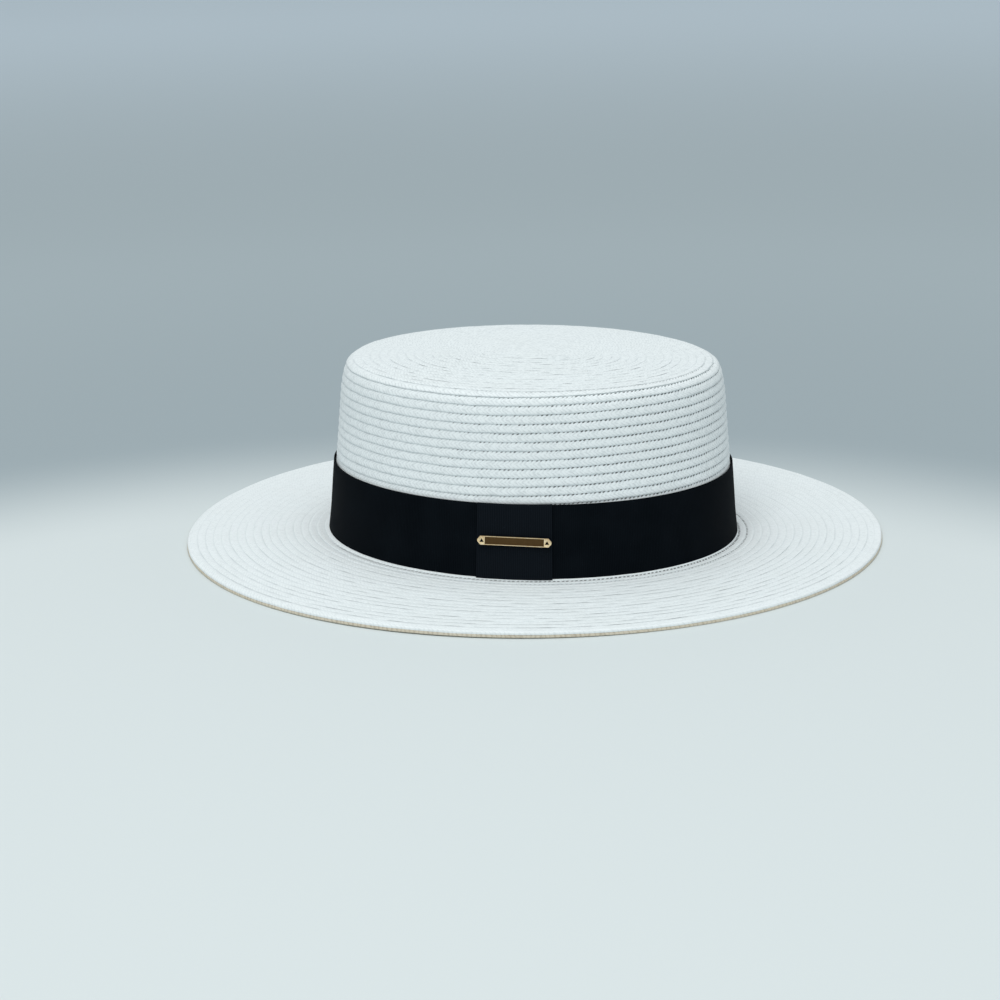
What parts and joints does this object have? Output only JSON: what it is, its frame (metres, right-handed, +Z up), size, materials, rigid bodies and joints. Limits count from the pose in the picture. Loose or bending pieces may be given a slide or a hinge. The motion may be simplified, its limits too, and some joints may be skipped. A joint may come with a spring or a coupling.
{
  "type": "straw boater hat",
  "caption": "Stiff oval boater of sewn straw braid: flat-topped crown, flat brim, ribbon band and tab with a small plain bar.",
  "frame": {"origin": "on the resting plane under the middle of the hat", "axes": "+X along the long way of the head oval, +Z up, -Y towards the trimmed side"},
  "size_m": [0.3506, 0.3178, 0.0923],
  "materials": {
    "straw": "bleached paper straw braid, cool white, slight sheen",
    "edge_straw": "unbleached straw braid, warm beige, matt",
    "ribbon": "blue-black grosgrain ribbon with a faint sheen",
    "gilt": "polished gilt border round a darker sunk field"
  },
  "bodies": {
    "root": {"crown": "straw", "brim": "straw", "rim_row": "edge_straw", "hat_band": "ribbon", "band_tab": "ribbon", "bar_plate": "gilt"}
  },
  "joints": []
}
